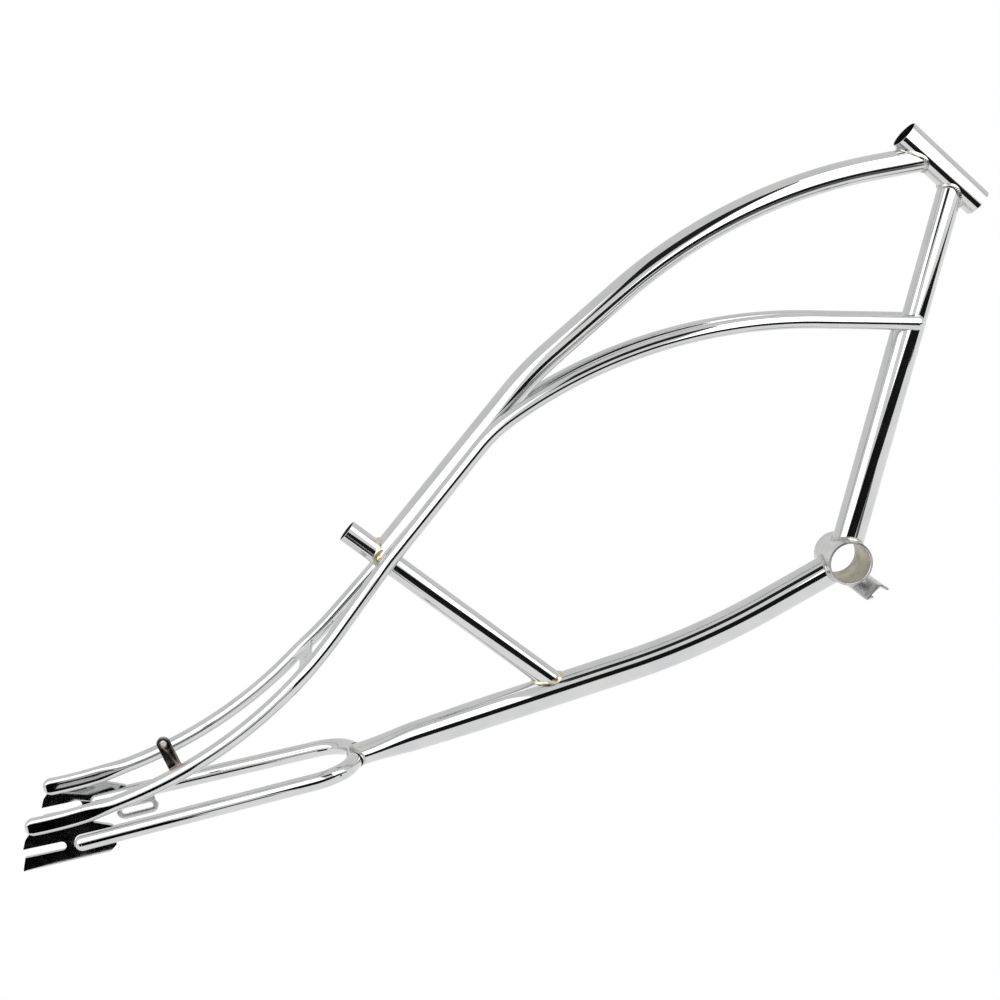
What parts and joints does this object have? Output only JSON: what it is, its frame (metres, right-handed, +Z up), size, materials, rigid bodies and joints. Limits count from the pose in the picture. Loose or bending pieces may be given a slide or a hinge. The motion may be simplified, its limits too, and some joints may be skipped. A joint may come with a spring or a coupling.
{
  "type": "bicycle frame",
  "caption": "Long, low bicycle frame of bent chromed steel tubes: an arched top tube, twin tubes that run on as seat stays, a looped chain stay and slotted dropouts.",
  "frame": {"origin": "centre of the bottom bracket shell, on its axis", "axes": "+X forward to the head tube, +Y to the rider's left along the bottom bracket axis, +Z up"},
  "size_m": [1.3956, 0.1672, 0.5493],
  "materials": {
    "chrome_tube": "bright chrome plating on polished tube",
    "chrome_plate": "bright chrome plating on flat steel plate",
    "satin_chrome": "duller chrome plating on rough steel",
    "chrome_weld": "chrome plating over weld beads",
    "brass_braze": "brass braze that shows through thin chrome"
  },
  "bodies": {
    "root": {"bb_shell": "satin_chrome", "head_tube": "chrome_tube", "down_tube_lower": "chrome_tube", "down_tube_upper": "chrome_tube", "down_tube_ring": "chrome_tube", "top_tube": "chrome_tube", "seat_tube": "chrome_tube", "bottom_tube": "chrome_tube", "stay_tube_right": "chrome_tube", "stay_tube_left": "chrome_tube", "front_plug_right": "chrome_tube", "front_plug_left": "chrome_tube", "chain_stay_loop": "chrome_tube", "leg_plug_right": "chrome_tube", "leg_plug_left": "chrome_tube", "dropout_right": "chrome_plate", "dropout_left": "chrome_plate", "kickstand_plate": "satin_chrome", "kickstand_boss": "satin_chrome", "fender_bridge": "satin_chrome", "stay_eyelet": "satin_chrome", "brake_arm_bracket": "satin_chrome", "head_top_weld": "chrome_weld", "head_down_weld": "chrome_weld", "shell_front_weld": "chrome_weld", "shell_rear_weld": "chrome_weld", "seat_foot_weld": "brass_braze", "seat_top_weld": "brass_braze", "yoke_weld": "chrome_weld", "stay_front_weld_right": "chrome_weld", "stay_front_weld_left": "chrome_weld", "stay_braze_right": "brass_braze", "stay_braze_left": "brass_braze"}
  },
  "joints": []
}
